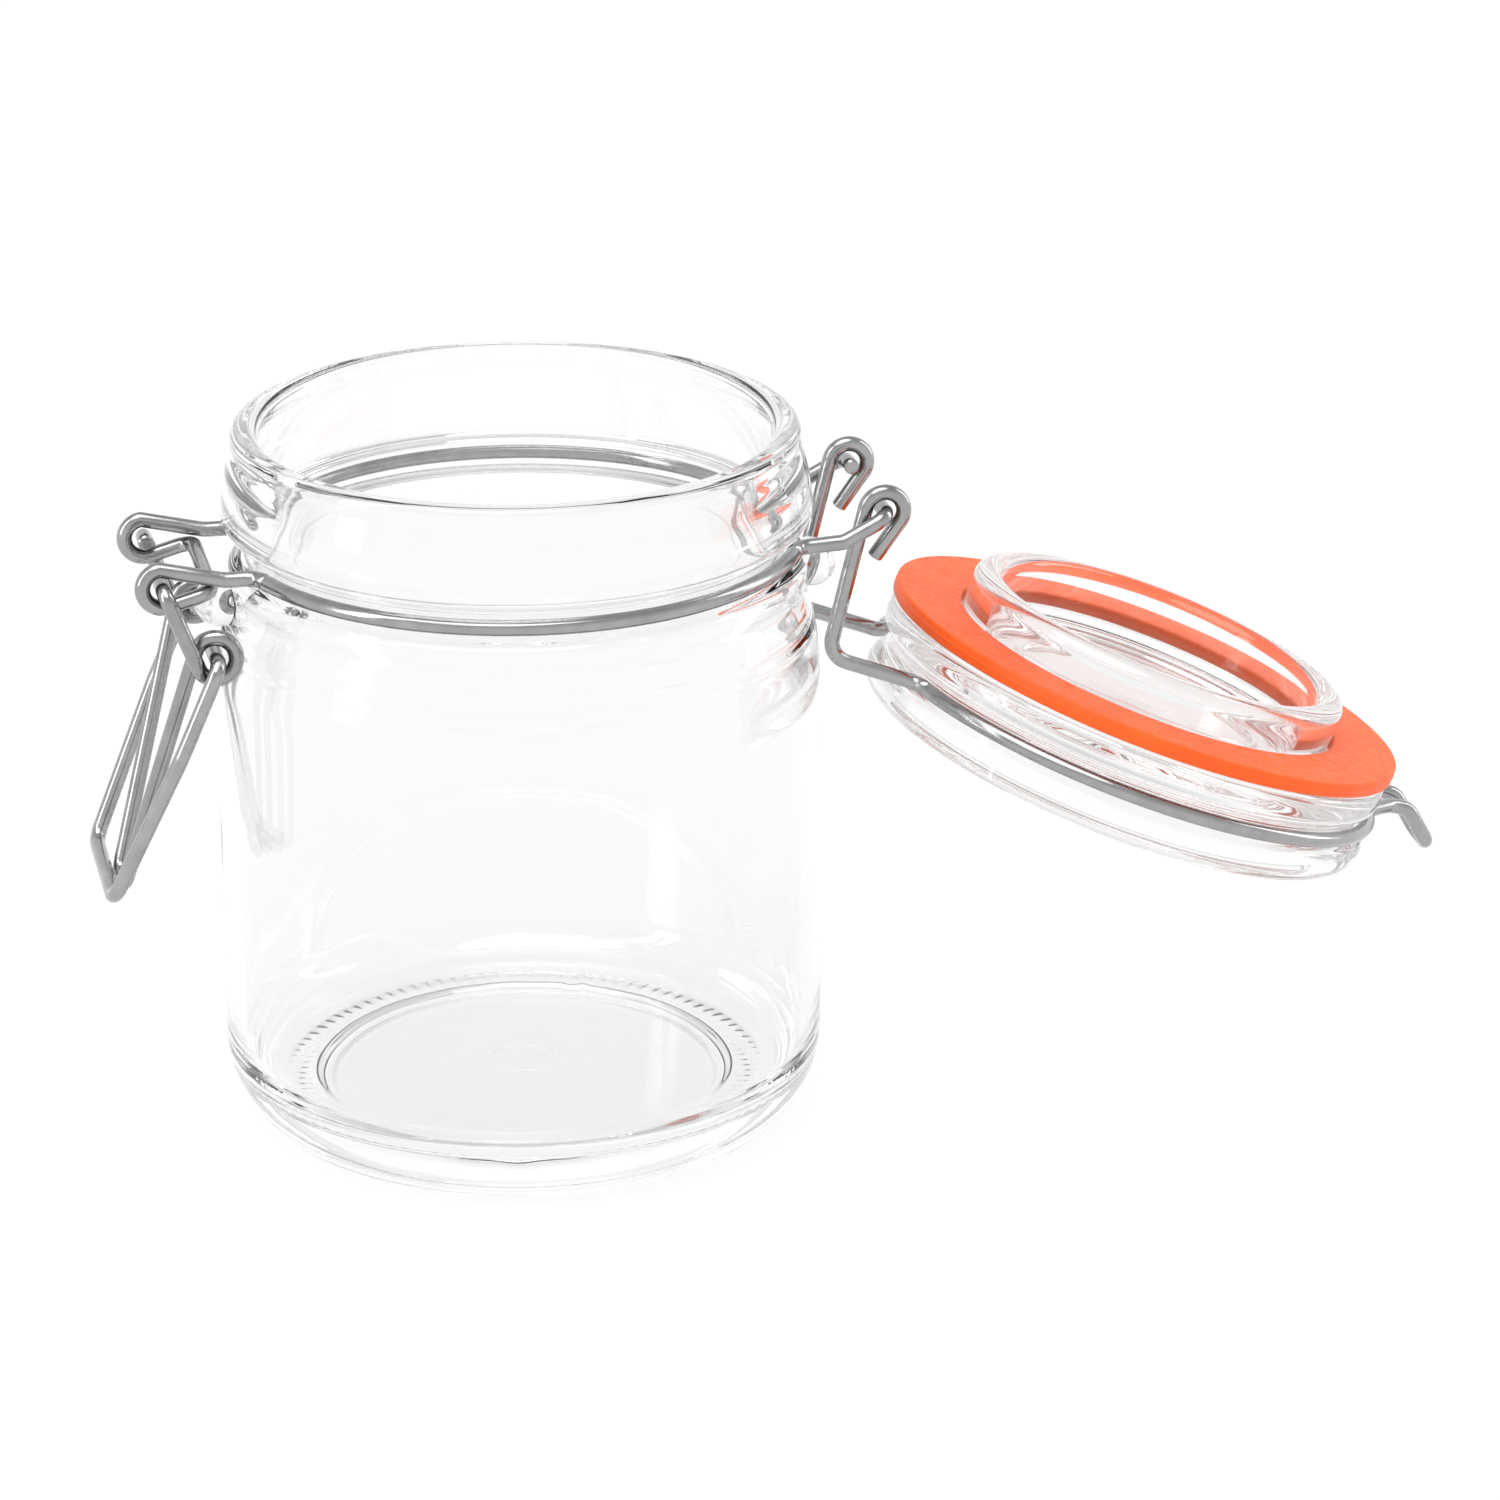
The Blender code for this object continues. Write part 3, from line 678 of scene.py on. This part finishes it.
def make_floor():
    bpy.ops.mesh.primitive_plane_add(size=FLOOR_SIZE, location=(0.0, 0.0, FLOOR_Z))
    floor = bpy.context.object
    floor.name = "studio_floor"
    mat, _, _, shader = new_material("pale_floor")
    shader.inputs["Base Color"].default_value = (0.10, 0.10, 0.10, 1.0)
    shader.inputs["Emission Color"].default_value = (1.0, 1.0, 1.0, 1.0)
    shader.inputs["Emission Strength"].default_value = FLOOR_GLOW
    shader.inputs["Roughness"].default_value = 0.9
    shader.inputs["Specular IOR Level"].default_value = 0.1
    floor.data.materials.append(mat)


def strip_light(name, place_at, power):
    data = bpy.data.lights.new(name, "AREA")
    data.shape = "RECTANGLE"
    data.size, data.size_y = STRIP_SIZE
    data.energy = power
    obj = bpy.data.objects.new(name, data)
    obj.location = place_at
    aim = Vector(STRIP_AIM) - Vector(place_at)
    obj.rotation_euler = aim.to_track_quat("-Z", "Y").to_euler()
    bpy.context.scene.collection.objects.link(obj)


def make_sky():
    """A soft white dome, brightest at the horizon, that dims towards the top."""
    world = bpy.data.worlds.new("studio")
    bpy.context.scene.world = world
    world.use_nodes = True
    nodes, links = world.node_tree.nodes, world.node_tree.links
    direction = nodes.new("ShaderNodeTexCoord").outputs["Generated"]
    split = nodes.new("ShaderNodeSeparateXYZ")
    links.new(direction, split.inputs["Vector"])
    ramp = nodes.new("ShaderNodeValToRGB")
    ramp.color_ramp.interpolation = "EASE"
    for stop, level in zip(ramp.color_ramp.elements, SKY_LEVELS):
        stop.color = (level, level, level, 1.0)
    links.new(split.outputs["Z"], ramp.inputs["Fac"])
    links.new(ramp.outputs["Color"], nodes["Background"].inputs["Color"])


def make_studio():
    make_floor()
    make_sky()
    for name, place_at, power in STRIPS:
        strip_light(name, place_at, power)
    sun_data = bpy.data.lights.new("overhead_scrim", "SUN")
    sun_data.energy = SCRIM_ENERGY
    sun_data.angle = SCRIM_ANGLE
    sun = bpy.data.objects.new("overhead_scrim", sun_data)
    sun.rotation_euler = SCRIM_TILT
    bpy.context.scene.collection.objects.link(sun)
    scene = bpy.context.scene
    scene.view_settings.view_transform = "Standard"
    scene.cycles.max_bounces = GLASS_BOUNCES
    scene.cycles.transmission_bounces = GLASS_BOUNCES
    scene.cycles.glossy_bounces = GLASS_BOUNCES


def make_camera():
    data = bpy.data.cameras.new("camera")
    data.sensor_width = VIEW_SENSOR
    data.lens = VIEW_LENS
    data.clip_start = 0.01
    camera = bpy.data.objects.new("camera", data)
    across = JAR_AXIS.x + math.sin(VIEW_SIDE) * VIEW_DISTANCE
    along = -math.cos(VIEW_SIDE) * VIEW_DISTANCE
    camera.location = (across, along, VIEW_HEIGHT)
    camera.rotation_euler = (VIEW_PITCH, 0.0, VIEW_HEADING)
    bpy.context.scene.collection.objects.link(camera)
    bpy.context.scene.camera = camera


make_camera()
make_jar(glass_material("jar_glass_clear", 0.00022))
make_lid(glass_material("lid_glass_clear", 0.00018))
make_gasket(rubber_material("gasket_orange_rubber"))
make_wires()
make_studio()

bpy.context.view_layer.update()
